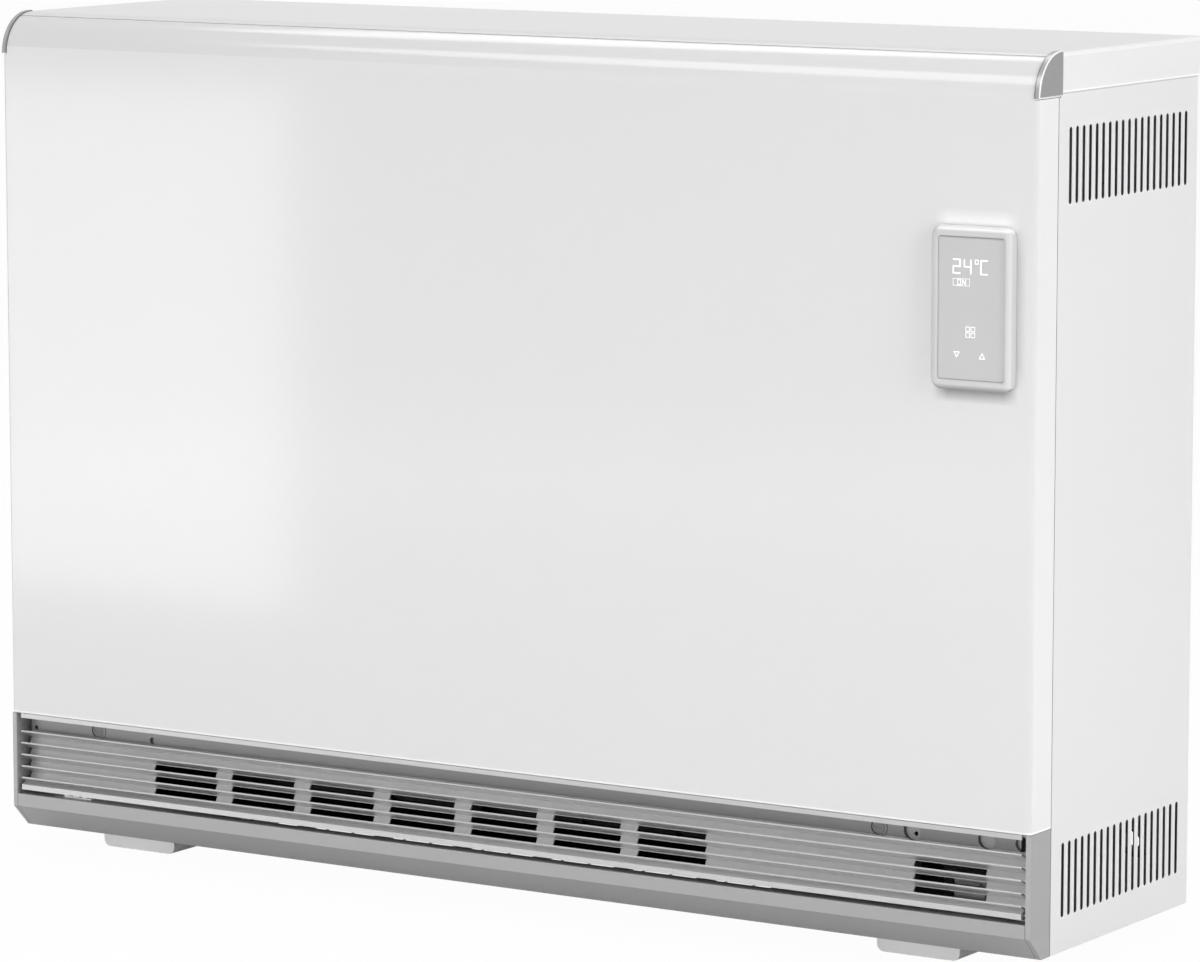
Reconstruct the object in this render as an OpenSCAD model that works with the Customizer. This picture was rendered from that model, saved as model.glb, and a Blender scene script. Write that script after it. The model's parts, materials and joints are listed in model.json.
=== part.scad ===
// Fan-assisted electric storage heater: sheet casing, insulated brick core with tubular elements,
// two cross-flow blowers, a bimetal mixing flap and a finned outlet grille that tilts forward.
// X points right, -Y to the front, Z up. The origin is on the floor under the middle of the outline.
// All sizes are millimetres.

/* [Casing] */
// Width over the side panels
body_w = 926; // [866:1:1126]
// Depth from the front panel's face to the back
body_d = 250; // [246:1:275]
// Height from the floor to the top cover
body_h = 672; // [650:1:720]
// Thickness of the casing sheet
sheet = 1.2; // [0.8:0.1:1.5]
// Radius of the curve along the front top edge
nose_r = 32; // [28:1:34]
// Angle up that curve at which the front panel ends and the cover begins
nose_split = 65; // [58:1:70]
// Width of the joint line between front panel and cover
nose_joint = 1.2; // [0.8:0.1:2]
// Height of the plinth zone below the front panel
plinth_h = 94.5; // [94:0.1:100]
// Depth of the front panel's folded sides
side_return = 30.8; // [28:0.1:36]
// Outer radius of the front panel's upright corners
panel_corner_r = 2.5; // [1.6:0.1:4]
// Width of the folded edges inside the casing
fold_w = 15; // [10:1:16]
// Gap between neighbouring casing pieces
seam = 0.4; // [0.2:0.1:0.6]
// Gap between the front panel's sides and the side panels
side_gap = 0.9; // [0.4:0.1:1.2]

/* [Top cover and end caps] */
// Height of the cover's side skirts
skirt_h = 29.1; // [24:0.1:31]
// How far the skirts stand out from the side panels
skirt_proud = 1.3; // [1.3:0.1:2]
// Radius of the fold along the cover's sides
cover_fold_r = 1.5; // [1.5:0.1:2.5]
// Thickness of an end cap across the heater
cap_w = 4.7; // [4:0.1:6]
// How far an end cap stands out from the side panel
cap_side = 1.5; // [1.4:0.1:2]
// How far an end cap stands out from the front curve
cap_proud = 0.8; // [0.4:0.1:1.2]
// Radius of the end caps' outer edge
cap_edge_r = 1; // [0.6:0.1:1.4]
// Length of an end cap behind the curve
cap_tail = 2; // [1:0.5:4]

/* [Side vents] */
// Slots in each group
vent_count = 19; // [9:1:19]
// Distance from slot to slot
vent_pitch = 10.09; // [8:0.01:10.2]
// Width of a slot
vent_w = 4.4; // [2:0.1:5]
// Length of a slot
vent_l = 55.2; // [40:0.1:60]
// Distance from the cover's top to the middle of the upper slots
vent_drop = 81.9; // [70:0.1:110]
// Distance from the underside to the middle of the lower slots
vent_rise = 53.3; // [45:0.1:70]

/* [Plinth] */
// Height of the feet
foot_h = 17; // [15:1:30]
// Width of a foot
foot_w = 70; // [60:1:90]
// Length of a foot from front to back
foot_l = 190; // [170:1:192]
// Radius of the feet's lower edges
foot_r = 6; // [3:0.5:7]
// Distance from the left side to the middle of the left foot
foot_left = 90; // [70:1:110]
// Distance from the right side to the middle of the right foot
foot_right = 118; // [100:1:140]
// Distance from the front face to the feet
foot_setback = 47; // [42:1:48]
// Wall of the feet
foot_wall = 2.5; // [2:0.1:4]
// Thickness of the plinth's side cheeks
cheek_t = 3.7; // [3.5:0.1:5]
// Height of the bottom rail
rail_h = 28.2; // [26:0.1:28.5]
// Thickness of the bottom rail
rail_t = 1.6; // [1.2:0.1:2]
// Chamfer along the bottom of the plinth
plinth_chamfer = 18; // [12:1:20]

/* [Outlet grille] */
// Fins of the grille
fin_count = 5; // [4:1:5]
// Distance from fin to fin
fin_pitch = 9.5; // [9:0.1:9.6]
// Thickness of the extrusion's walls
fin_t = 1.3; // [1:0.1:1.4]
// Depth of a fin from front to back
fin_depth = 14.5; // [13:0.1:14.6]
// How much lower a fin's back is than its front
fin_drop = 6.8; // [6:0.1:7]
// Distance from the grille's top to the first fin
fin_first = 14.4; // [13.5:0.1:14.6]
// Height of the strip along the grille's top
strip_h = 3.7; // [3:0.1:4]
// Height of the lip along the grille's bottom
lip_h = 4.2; // [3.8:0.1:4.4]
// How far the grille's front is behind the front panel's face
grille_setback = 1; // [0.5:0.1:2]
// Gap between the grille's ends and the cheeks
grille_gap = 3.9; // [3:0.1:5]
// Gap between the grille's top and the front panel
grille_top_gap = 0.6; // [0.5:0.1:1]
// Length of an outlet slot
slot_w = 60.1; // [40:0.1:62]
// Height of an outlet slot
slot_h = 4.8; // [3:0.1:4.9]
// Distance between the groups of slots
slot_pitch = 75.4; // [70:0.1:80]
// Distance from the grille's left end to the first slot
slot_start = 124.8; // [110:0.1:140]
// Distance from the grille's right end to the single group of slots
slot_end = 35.1; // [30:0.1:60]
// Radius of the pins that the grille tilts on
hinge_pin_r = 1.5; // [1.2:0.1:1.7]
// Length of a hinge pin inside the grille
hinge_pin_l = 14; // [8:1:25]
// Distance from the left side to the left fastener
latch_left = 75; // [60:1:100]
// Distance from the right side to the right fastener
latch_right = 134; // [110:1:150]
// Radius of a fastener's head
latch_r = 5.2; // [4:0.1:6]
// Outer radius of the cup around a fastener
latch_cup_r = 7.6; // [7:0.1:7.8]

/* [Control unit] */
// Width of the bezel
bezel_w = 66; // [60:1:72]
// Height of the bezel
bezel_h = 118; // [100:1:130]
// Radius of the bezel's corners
bezel_r = 8.5; // [8.2:0.1:12]
// How far the bezel stands out from the front panel
bezel_proud = 9; // [8.2:0.1:12]
// Radius of the bezel's rounded front edge
bezel_edge_r = 4; // [3:0.1:4]
// Width of the frame beside the glass
frame_w = 5.9; // [5.5:0.1:8]
// Width of the frame above and below the glass
frame_top = 7.7; // [6:0.1:9]
// Depth of the glass below the bezel's front
glass_sunk = 1.6; // [0.5:0.1:2]
// Thickness of the touch glass
glass_t = 3; // [2:0.1:3.5]
// Distance from the right side to the middle of the bezel
bezel_side = 48.5; // [44:0.5:60]
// Distance from the top to the middle of the bezel
bezel_drop = 182.4; // [150:0.1:220]

/* [Core and insulation] */
// Bricks side by side in a layer
brick_columns = 3; // [2:1:4]
// Layers of bricks
brick_rows = 6; // [6:2:6]
// Thickness of the insulation in front of and behind the core
wall_board = 38; // [34:1:40]
// Thickness of the insulation at the core's ends
end_board = 40; // [36:1:50]
// Thickness of the insulation above the core
top_board = 45; // [40:1:55]
// Thickness of the insulation below the core
base_board = 40; // [36:1:45]
// Width of the bay for the electrical parts
service_w = 86; // [80:1:90]
// Air space left of the core's casing
left_space = 17; // [12:1:22]
// Air space between front panel and core's casing
front_space = 18; // [17:1:20]
// Air space behind the core's casing
back_space = 8; // [7:1:12]
// Thickness of the core casing's sheet
liner = 0.8; // [0.6:0.1:1]
// Height of the blower compartment
blower_bay_h = 119; // [118:1:124]
// Radius of a heating element's tube
element_r = 4.1; // [3.5:0.1:5]
// Radius of an element's bend
element_bend = 22; // [18:1:26]
// Clearance around an element in its groove
element_gap = 0.3; // [0.2:0.1:0.5]
// Width of an air channel in the core
channel_w = 9; // [7:1:11]
// Distance from the core's middle to its air channels
channel_y = 48; // [44:1:50]

/* [Blowers and flap] */
// Outer radius of an impeller
impeller_r = 27; // [24:0.5:27]
// Blades on an impeller
blade_count = 24; // [16:1:32]
// Radial depth of a blade
blade_depth = 6; // [5:0.1:8]
// Thickness of a blade
blade_t = 0.9; // [0.7:0.1:1.2]
// Radius of an impeller's shaft
axle_r = 3; // [2.5:0.1:4]
// Running clearance of the shafts and pins
running = 0.05; // [0.03:0.01:0.09]
// Distance from the front face to the blowers' axis
blower_back = 125; // [123:1:130]
// Height of the blowers' axis above the underside
blower_up = 53; // [52:1:54]
// Thickness of the blower's and duct's sheet
duct_t = 1; // [0.8:0.1:1.2]
// Radius of the flap's shaft
flap_shaft_r = 2.5; // [2:0.1:3]
// Width of the mixing flap from its shaft to its edge
flap_w = 29; // [26:0.5:29]

/* [Hidden] */
$fn = 64;

half_w = body_w / 2;
front_y = (bezel_proud - body_d) / 2;
back_y = (bezel_proud + body_d) / 2;
under_z = foot_h;
panel_z = under_z + plinth_h;
return_y = front_y + side_return;
inside_x = half_w - sheet - seam;

// the curve along the front top edge
nose_y = front_y + nose_r;
nose_z = body_h - nose_r;
joint_angle = nose_joint / nose_r * 180 / PI;
cap_x = half_w + cap_side - cap_w;
nose_half = cap_x - seam / 2;
cover_y = nose_y + cap_tail + seam;
nose_fold = 7;

// the plinth
rail_z = under_z + rail_h;
cheek_x = half_w - cheek_t;
rail_back = front_y + plinth_chamfer + 20;
tray_front = rail_back + seam;

// the grille: its front plane, top, hinge line and recess wall
grille_y = front_y + grille_setback;
grille_top = panel_z - grille_top_gap;
grille_half = cheek_x - grille_gap;
lip_bottom = rail_z + 3.5;
hinge_y = grille_y + 4.5;
hinge_z = lip_bottom + 2.5;
wall_depth = fin_depth - 0.3;
latch_z = grille_top - 9.8;
latch_xs = [latch_left - half_w, half_w - latch_right];
slot_groups = floor((grille_half * 2 - slot_start - slot_end - 3 * slot_w) / slot_pitch);
slot_xs = concat([for (i = [0:slot_groups - 1]) slot_start - grille_half + i * slot_pitch],
    [grille_half - slot_end - slot_w]);
slot_below_fin = 7.5;
function fin_z(i) = grille_top - fin_first - i * fin_pitch;

// the cross rail behind the grille's recess wall
cross_y = grille_y + fin_depth + 1.6;
cross_low = latch_z - 9.5;

// the core's casing and what fills it
case_x = [left_space - half_w, half_w - sheet - service_w];
case_y = [front_y + sheet + front_space, back_y - sheet - back_space];
case_z = [under_z + blower_bay_h, body_h - skirt_h - 3];
pan_z = case_z[0] + liner;
core_x = [case_x[0] + liner + end_board, case_x[1] - liner - end_board];
core_y = [case_y[0] + liner + wall_board, case_y[1] - liner - wall_board];
core_z = [pan_z + base_board, case_z[1] - liner - top_board];
core_mid = (core_y[0] + core_y[1]) / 2;
brick_l = (core_x[1] - core_x[0]) / brick_columns;
brick_h = (core_z[1] - core_z[0]) / brick_rows;
element_zs = [for (k = [0:brick_rows / 2 - 1]) core_z[0] + (2 * k + 1) * brick_h];
element_end = case_x[1] + 20;
bush_r = 9;

// the blowers and the duct in front of them
blower_y = front_y + blower_back;
blower_z = under_z + blower_up;
zone_x = [slot_xs[0] - 8, slot_xs[slot_groups - 1] + slot_w + 10];
zone_mid = (zone_x[0] + zone_x[1]) / 2;
housing_gap = 0.6;
plate_t = 2;
bearing_r = 8;
mouth_y = grille_y + fin_depth + 1.2;
mouth_z = [fin_z(fin_count - 1) - 8, fin_z(1) - 2.5];
duct_end_y = blower_y - impeller_r - 8;
duct_end_z = [mouth_z[0], blower_z + impeller_r + 9];
chimney_y = [duct_end_y - flap_w - 5.3, duct_end_y];
flap_axis = [chimney_y[1] - flap_shaft_r - 2.5, duct_end_z[1] - 6];
flap_hub_r = flap_shaft_r + 1.2;
flap_slope = 18;
motor_l = 34;

// the electrical bay
bay_x = case_x[1];
board_plate_x = bay_x + 8;
bezel_x = half_w - bezel_side;
bezel_z = body_h - bezel_drop;
glass_w = bezel_w - 2 * frame_w;
glass_h = bezel_h - 2 * frame_top;
opening_r = 2.2;
rim_r = min(2, frame_w - bezel_edge_r - 0.2);
glass_y = front_y - bezel_proud + glass_sunk;
housing_w = glass_w - 4;
housing_h = glass_h - 4;
limiter_z = (case_z[0] + case_z[1]) / 2 - 60;
inlet_r = 11;
inlet_bore_r = 7;
inlet_x = half_w - 42;
inlet_z = under_z + 45;

// ---------- helpers ----------

module block(low, high) translate(low) cube(high - low);

// a drawing in (y, z), drawn out along X
module along_x(x0, x1) translate([x0, 0, 0]) rotate([90, 0, 90]) linear_extrude(x1 - x0) children();

// a drawing in (x, z), drawn out along Y
module along_y(y0, y1) translate([0, y1, 0]) rotate([90, 0, 0]) linear_extrude(y1 - y0) children();

module rod_x(x0, x1, y, z, r) translate([x0, y, z]) rotate([0, 90, 0]) cylinder(h = x1 - x0, r = r);
module rod_y(y0, y1, x, z, r) translate([x, y0, z]) rotate([-90, 0, 0]) cylinder(h = y1 - y0, r = r);
module rod_z(z0, z1, x, y, r) translate([x, y, z0]) cylinder(h = z1 - z0, r = r);

function unit(v) = v / norm(v);
function left_of(v) = [-v[1], v[0]];

// where the second face of a bent sheet turns at point i of its path, for a thickness of 1
function mitre(p, i) =
    let (n = len(p),
        before = left_of(unit(p[max(i, 1)] - p[max(i, 1) - 1])),
        after = left_of(unit(p[min(i, n - 2) + 1] - p[min(i, n - 2)])))
    (before + after) / (1 + before * after);

// a sheet of thickness t bent along the path p, to the left of its direction
module bent(p, t) polygon(concat(p, [for (i = [len(p) - 1:-1:0]) p[i] + mitre(p, i) * t]));

// a straight wall of thickness t centred on the line from a to b
module wall(a, b, t) {
    n = left_of(unit(b - a)) * t / 2;
    polygon([a + n, b + n, b - n, a - n]);
}

module round_rect(w, h, r) {
    square([w - 2 * r, h], center = true);
    square([w, h - 2 * r], center = true);
    for (x = [r - w / 2, w / 2 - r]) for (y = [r - h / 2, h / 2 - r]) translate([x, y]) circle(r);
}

// part of a ring: angle 0 points to the front, 90 up
module ring_sector(r, t, a0, a1) intersection() {
    difference() {
        circle(r);
        circle(r - t);
    }
    polygon([[0, 0], 2 * r * [-cos(a0), sin(a0)], 2 * r * [-cos(a1), sin(a1)]]);
}

module at_nose() translate([nose_y, nose_z]) children();

module both_sides() {
    children();
    mirror([1, 0, 0]) children();
}

// ---------- casing ----------

module tray_intakes() for (x = slot_xs) for (y = [-1:1])
    block([x, blower_y + y * 18 - 4, under_z - 1], [x + slot_w, blower_y + y * 18 + 4, under_z + 3]);

module base_tray() color("gainsboro") difference() {
    union() {
        block([-inside_x, tray_front, under_z], [inside_x, back_y - sheet - seam, under_z + sheet]);
        for (x = [-inside_x, inside_x - sheet])
            block([x, side_y + sheet + 1, under_z], [x + sheet, back_y - 4, under_z + fold_w]);
        block([-inside_x + fold_w, back_y - sheet - seam - sheet, under_z],
            [inside_x - fold_w, back_y - sheet - seam, under_z + fold_w]);
    }
    tray_intakes();
    foot_screw_places() cylinder(h = 40, r = screw_r + 0.3, center = true);
}

module back_panel() color("gainsboro") difference() {
    union() {
        block([-inside_x, back_y - sheet, under_z], [inside_x, back_y, body_h - sheet - seam]);
        for (x = bead_xs) intersection() {
            rod_z(bead_z[0], bead_z[1], x, back_y, bead_r + sheet);
            block([x - 20, back_y - 20, under_z], [x + 20, back_y, body_h]);
        }
    }
    for (x = bead_xs) rod_z(bead_z[0] + sheet, bead_z[1] - sheet, x, back_y, bead_r);
    for (x = [-wall_hole_x, wall_hole_x]) rod_y(back_y - 10, back_y + 10, x, wall_hole_z, wall_hole_r);
    rod_y(back_y - 10, back_y + 10, inlet_x, inlet_z, inlet_r + running);
}
bead_r = 3;
bead_xs = [for (i = [-1:1]) i * half_w * 0.45];
bead_z = [under_z + 60, body_h - 60];
wall_hole_x = 300;
wall_hole_z = body_h - 22;
wall_hole_r = 4.5;

module vent_slot(z) {
    translate([0, z]) square([vent_w, vent_l - vent_w], center = true);
    for (s = [-1, 1]) translate([0, z + s * (vent_l - vent_w) / 2]) circle(vent_w / 2);
}
vent_mid_y = (return_y + back_y) / 2;

module side_panel() difference() {
    union() {
        block([half_w - sheet, side_y, under_z], [half_w, back_y, side_top]);
        block([half_w - fold_w, side_y, under_z + rail_t + seam], [half_w, side_y + sheet, side_top]);
        block([half_w - fold_w, back_y - 2 * sheet, under_z + fold_w + 1],
            [half_w, back_y - sheet, side_top]);
    }
    // clear of the end cap and its tail
    block([half_w - fold_w - 1, return_y, nose_z - seam], [half_w + 1, cover_y, body_h]);
    for (i = [0:vent_count - 1]) along_x(half_w - 5, half_w + 5)
        translate([vent_mid_y + (i - (vent_count - 1) / 2) * vent_pitch, 0]) {
            vent_slot(body_h - vent_drop);
            vent_slot(under_z + vent_rise);
        }
}
side_top = body_h - sheet - seam;
side_y = return_y + side_gap;
module right_side_panel() color("white") side_panel();
module left_side_panel() color("white") mirror([1, 0, 0]) side_panel();

module cover_section() difference() {
    w = 2 * (half_w + skirt_proud);
    translate([0, body_h - skirt_h]) round_rect(w, 2 * skirt_h, cover_fold_r);
    translate([0, body_h - skirt_h - sheet])
        round_rect(w - 2 * sheet, 2 * skirt_h, max(cover_fold_r - sheet, 0.2));
    translate([-body_w, body_h - 4 * skirt_h]) square([2 * body_w, 3 * skirt_h]);
}

module top_cover() color("white") {
    along_y(cover_y, back_y) cover_section();
    along_x(-nose_half, nose_half) {
        at_nose() {
            ring_sector(nose_r, sheet, nose_split + joint_angle, 90);
            rotate(-nose_split - joint_angle) translate([-nose_r, 0]) square([nose_fold, sheet]);
        }
        translate([nose_y, body_h - sheet]) square([cover_y - nose_y + 2, sheet]);
    }
    block([-inside_x + 20, back_y - 2 * sheet - seam, body_h - 12],
        [inside_x - 20, back_y - sheet - seam, body_h - sheet / 2]);
}

module front_section() difference() {
    span = side_return + 20;
    translate([0, front_y + span / 2]) round_rect(body_w, span, panel_corner_r);
    translate([0, front_y + sheet + span / 2])
        round_rect(body_w - 2 * sheet, span, max(panel_corner_r - sheet, 0.3));
    translate([-body_w, return_y]) square([2 * body_w, span]);
}

module front_panel() color("white") difference() {
    union() {
        translate([0, 0, panel_z]) linear_extrude(nose_z - seam - panel_z) front_section();
        block([-nose_half, front_y, nose_z - 3], [nose_half, front_y + sheet, nose_z]);
        along_x(-nose_half, nose_half) at_nose() {
            ring_sector(nose_r, sheet, 0, nose_split);
            rotate(-nose_split) translate([-nose_r, -sheet]) square([nose_fold, sheet]);
        }
        block([-half_w + 4, front_y + sheet / 2, panel_z],
            [half_w - 4, front_y + grille_setback + 12, panel_z + sheet]);
    }
    translate([bezel_x, 0, bezel_z]) along_y(front_y - 5, front_y + 5)
        round_rect(housing_w + 2 * seam, housing_h + 2 * seam, 4);
}

// one end cap, as on the left: a quarter disc with a rounded rim and a short tail behind it
module end_cap() difference() {
    r = nose_r + cap_proud;
    union() {
        translate([-cap_x, nose_y, nose_z]) multmatrix([[0, 0, -1, 0], [-1, 0, 0, 0], [0, 1, 0, 0]])
            rotate_extrude(angle = 90) {
                square([r - cap_edge_r, cap_w]);
                square([r, cap_w - cap_edge_r]);
                translate([r - cap_edge_r, cap_w - cap_edge_r]) intersection() {
                    circle(cap_edge_r);
                    square(cap_edge_r);
                }
            }
        block([-cap_x - cap_w, nose_y, nose_z], [-cap_x, nose_y + cap_tail, nose_z + r - cap_edge_r]);
        block([-cap_x - cap_w + cap_edge_r, nose_y, nose_z], [-cap_x, nose_y + cap_tail, nose_z + r]);
        intersection() {
            rod_y(nose_y, nose_y + cap_tail, -cap_x - cap_w + cap_edge_r, nose_z + r - cap_edge_r,
                cap_edge_r);
            block([-cap_x - cap_w, nose_y, nose_z + r - cap_edge_r], [-cap_x, back_y, nose_z + r]);
        }
    }
    // bevels along the bottom and at the lower rear corner
    translate([-cap_x - cap_w, 0, nose_z]) rotate([0, 45, 0]) cube([2, 400, 2], center = true);
    translate([0, nose_y + cap_tail, nose_z]) rotate([45, 0, 0]) cube([2 * body_w, 3, 3], center = true);
}
module left_end_cap() color("silver") end_cap();
module right_end_cap() color("silver") mirror([1, 0, 0]) end_cap();

// ---------- plinth ----------

module cheek() difference() {
    along_x(cheek_x, half_w) polygon([[front_y, panel_z - seam], [front_y, under_z + plinth_chamfer],
        [front_y + plinth_chamfer, under_z], [return_y, under_z], [return_y, panel_z - seam]]);
    rod_x(cheek_x - 1, cheek_x + cheek_t - 1, hinge_y, hinge_z, hinge_pin_r + running);
}
module right_cheek() color("darkgray") cheek();
module left_cheek() color("darkgray") mirror([1, 0, 0]) cheek();

module bottom_rail() color("darkgray") along_x(-cheek_x + seam, cheek_x - seam)
    bent([[rail_back, under_z], [front_y + plinth_chamfer, under_z], [front_y, under_z + plinth_chamfer],
        [front_y, rail_z], [front_y + 13, rail_z]], -rail_t);

// a small ribbed clip on the rail, seen through the gap below the grille's lip
clip_x = 45 - half_w;
module rail_clip() color("whitesmoke") translate([clip_x, front_y + 8.2, rail_z]) {
    cube([27, 4.3, 1]);
    for (i = [0:2]) translate([i * 9, 0, 0]) cube([5, 4.3, 3]);
}

module cross_rail() color("gainsboro") difference() {
    along_x(-inside_x + fold_w, inside_x - fold_w)
        bent([[cross_y, cross_low], [cross_y, case_z[0] - seam], [case_y[0] + 14, case_z[0] - seam]], -sheet);
    for (x = latch_xs) block([x - 9, cross_y - 1, latch_z - 4], [x + 9, cross_y + sheet + 1, latch_z + 5]);
    rod_y(cross_y - 1, cross_y + sheet + 1, recess_holes[2][0] + 2.2, latch_z - 2.1, 1.7);
}

screw_r = 2;
foot_screw_ys = [24, foot_l - 24];
foot_y = front_y + foot_setback;
foot_xs = [foot_left - half_w, half_w - foot_right];
module foot_screw_places() for (x = foot_xs) for (y = foot_screw_ys) translate([x, foot_y + y, under_z])
    children();

module foot(x) translate([x, 0, 0]) difference() {
    union() {
        difference() {
            along_y(foot_y, foot_y + foot_l) {
                translate([-foot_w / 2, foot_r]) square([foot_w, foot_h - foot_r]);
                translate([foot_r - foot_w / 2, 0]) square([foot_w - 2 * foot_r, foot_h]);
                for (x = [foot_r - foot_w / 2, foot_w / 2 - foot_r]) translate([x, foot_r]) circle(foot_r);
            }
            block([foot_wall + foot_r / 2 - foot_w / 2, foot_y + foot_wall, foot_wall],
                [foot_w / 2 - foot_wall - foot_r / 2, foot_y + foot_l - foot_wall, foot_h + 1]);
        }
        for (y = foot_screw_ys) rod_z(0.5, foot_h, 0, foot_y + y, 6);
    }
    for (y = foot_screw_ys) rod_z(foot_wall, foot_h + 1, 0, foot_y + y, screw_r + running);
    for (y = floor_hole_ys) rod_z(-1, foot_wall + 1, 0, foot_y + y, floor_hole_r);
}
floor_hole_ys = [foot_l / 2 - 45, foot_l / 2 + 45];
floor_hole_r = 4.5;
module feet() color("whitesmoke") for (x = foot_xs) foot(x);

module foot_screws() color("silver") foot_screw_places() {
    translate([0, 0, sheet]) difference() {
        cylinder(h = 2.4, r = 4);
        translate([-0.5, -5, 1.2]) cube([1, 10, 2]);
    }
    translate([0, 0, 3 - foot_h + foot_wall]) cylinder(h = foot_h - foot_wall - 3 + sheet, r = screw_r);
}

module cable_grommet() color("dimgray") difference() {
    union() {
        rod_y(back_y - sheet - 3, back_y - sheet, inlet_x, inlet_z, inlet_r + 3);
        rod_y(back_y - sheet, back_y, inlet_x, inlet_z, inlet_r);
        rod_y(back_y - sheet - 9, back_y - sheet - 3, inlet_x, inlet_z, inlet_bore_r + 2);
    }
    rod_y(back_y - 20, back_y + 1, inlet_x, inlet_z, inlet_bore_r);
}

// ---------- outlet grille ----------

// the extruded section: a recess with a fastener wall on top, then fins joined by short walls
// that lean forward, and a hollow lip with the channel for the hinge pins
module grille_section() translate([grille_y, 0]) {
    back = [for (i = [0:fin_count - 1]) [fin_depth, fin_z(i) - fin_drop]];
    // where the wall below fin i meets the fin under it
    foot_at = [for (i = [0:fin_count - 2]) [fin_depth * 0.7, fin_z(i + 1) - fin_drop * 0.7]];
    rear = wall_depth + fin_t / 2;
    bent([[0, grille_top - strip_h], [0, grille_top], [8, grille_top], [rear, grille_top - 0.7],
        [rear, back[0][1]]], -fin_t);
    for (i = [0:fin_count - 2]) {
        wall([0, fin_z(i)], back[i], fin_t);
        wall(back[i], foot_at[i], fin_t);
    }
    wall([0, fin_z(fin_count - 1)], foot_at[fin_count - 2], fin_t);
    bent([[6.6, fin_z(fin_count - 1) - 2.9], [0, lip_bottom + lip_h], [0, lip_bottom],
        [foot_at[0][0] + fin_t / 2, lip_bottom], foot_at[fin_count - 2] + [fin_t / 2, 0.8]], fin_t);
    difference() {
        translate([hinge_y - grille_y, hinge_z]) circle(hinge_pin_r + 1);
        translate([0, lip_bottom - 5]) square([20, 5]);
    }
}

module outlet_grille() color("darkgray") difference() {
    along_x(-grille_half, grille_half) difference() {
        grille_section();
        translate([hinge_y, hinge_z]) circle(hinge_pin_r + 0.02);
    }
    for (x = slot_xs) for (i = [1:fin_count - 2])
        block([x, grille_y + fin_depth * 0.67, fin_z(i) - slot_below_fin - slot_h],
            [x + slot_w, grille_y + fin_depth + 2, fin_z(i) - slot_below_fin]);
    for (x = latch_xs) rod_y(grille_y + 9, cross_y - 0.2, x, latch_z, latch_cup_r - 1);
    for (hole = recess_holes) rod_y(grille_y + 9, cross_y - 0.2, hole[0], latch_z + hole[1], hole[2]);
}
latch_bore_r = 2.6;
// round holes in the recess wall: place, height above the fasteners, radius
recess_holes = [[12.5 - half_w, -3.4, 1.6], [129 - half_w, -2.9, 2.6],
    [half_w - 105.6, 0, 7], [half_w - 43.7, 0, 7], [half_w - 14.5, 0, 5.5]];

module grille_hinge_pins() color("silver") both_sides()
    rod_x(grille_half - hinge_pin_l, cheek_x + cheek_t - 1.4, hinge_y, hinge_z, hinge_pin_r);

latch_face = grille_y + wall_depth - fin_t / 2;
cup_floor = latch_face + fin_t + 0.1;
module latch_cups() color("silver") for (x = latch_xs) difference() {
    union() {
        rod_y(latch_face - 0.6, latch_face, x, latch_z, latch_cup_r);
        rod_y(latch_face - 0.3, cup_floor + 0.8, x, latch_z, latch_cup_r - 1);
    }
    rod_y(latch_face - 1, cup_floor, x, latch_z, latch_cup_r - 1.8);
    rod_y(latch_face, cup_floor + 5, x, latch_z, latch_bore_r);
}

// a quarter-turn fastener, shown released: its bar lies along its slot in the cross rail
module latch(x) difference() {
    union() {
        rod_y(cup_floor - 1.3, cup_floor, x, latch_z, latch_r);
        rod_y(cup_floor - 1, cross_y + sheet + 3, x, latch_z, latch_bore_r - running);
        block([x - 7, cross_y + sheet + 0.6, latch_z - 1.5], [x + 7, cross_y + sheet + 3, latch_z + 1.5]);
    }
    block([x - latch_r * 0.7, cup_floor - 2, latch_z - 0.7],
        [x + latch_r * 0.7, cup_floor - 0.5, latch_z + 0.7]);
}
module left_latch() color("dimgray") latch(latch_xs[0]);
module right_latch() color("dimgray") latch(latch_xs[1]);

// ---------- control unit ----------

// a slab with rounded corners and a rounded front edge, its back on the panel's face
module pillow(w, h, r, t, e) {
    for (x = [r - w / 2, w / 2 - r]) for (z = [r - h / 2, h / 2 - r]) translate([x, 0, z])
        rotate([90, 0, 0]) rotate_extrude() {
            square([r - e, t]);
            square([r, t - e]);
            translate([r - e, t - e]) circle(e);
        }
    for (bar = [[w - 2 * r, h, 0], [h - 2 * r, w, 90]]) rotate([0, bar[2], 0])
        along_x(-bar[0] / 2, bar[0] / 2) {
            translate([-t, e - bar[1] / 2]) square([t, bar[1] - 2 * e]);
            translate([e - t, -bar[1] / 2]) square([t - e, bar[1]]);
            for (s = [-1, 1]) translate([e - t, s * (bar[1] / 2 - e)]) circle(e);
        }
}

// the room that the rounded rim of an opening leaves free, from depth e to the front
module flare(w, h, r, e) {
    for (x = [r - w / 2, w / 2 - r]) for (z = [r - h / 2, h / 2 - r]) translate([x, 0, z])
        rotate([90, 0, 0]) rotate_extrude() difference() {
            square([r + e, e + 1]);
            translate([r + e, 0]) circle(e);
        }
    for (bar = [[w - 2 * r, h, 0], [h - 2 * r, w, 90]]) rotate([0, bar[2], 0])
        along_x(-bar[0] / 2, bar[0] / 2) difference() {
            translate([-e - 1, -bar[1] / 2 - e]) square([e + 1, bar[1] + 2 * e]);
            for (s = [-1, 1]) translate([0, s * (bar[1] / 2 + e)]) circle(e);
        }
}

module control_bezel() color("white") translate([bezel_x, front_y, bezel_z]) difference() {
    pillow(bezel_w, bezel_h, bezel_r, bezel_proud, bezel_edge_r);
    along_y(-bezel_proud - 1, 1) round_rect(glass_w, glass_h, opening_r);
    translate([0, rim_r - bezel_proud, 0]) flare(glass_w, glass_h, opening_r, rim_r);
}

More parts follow.
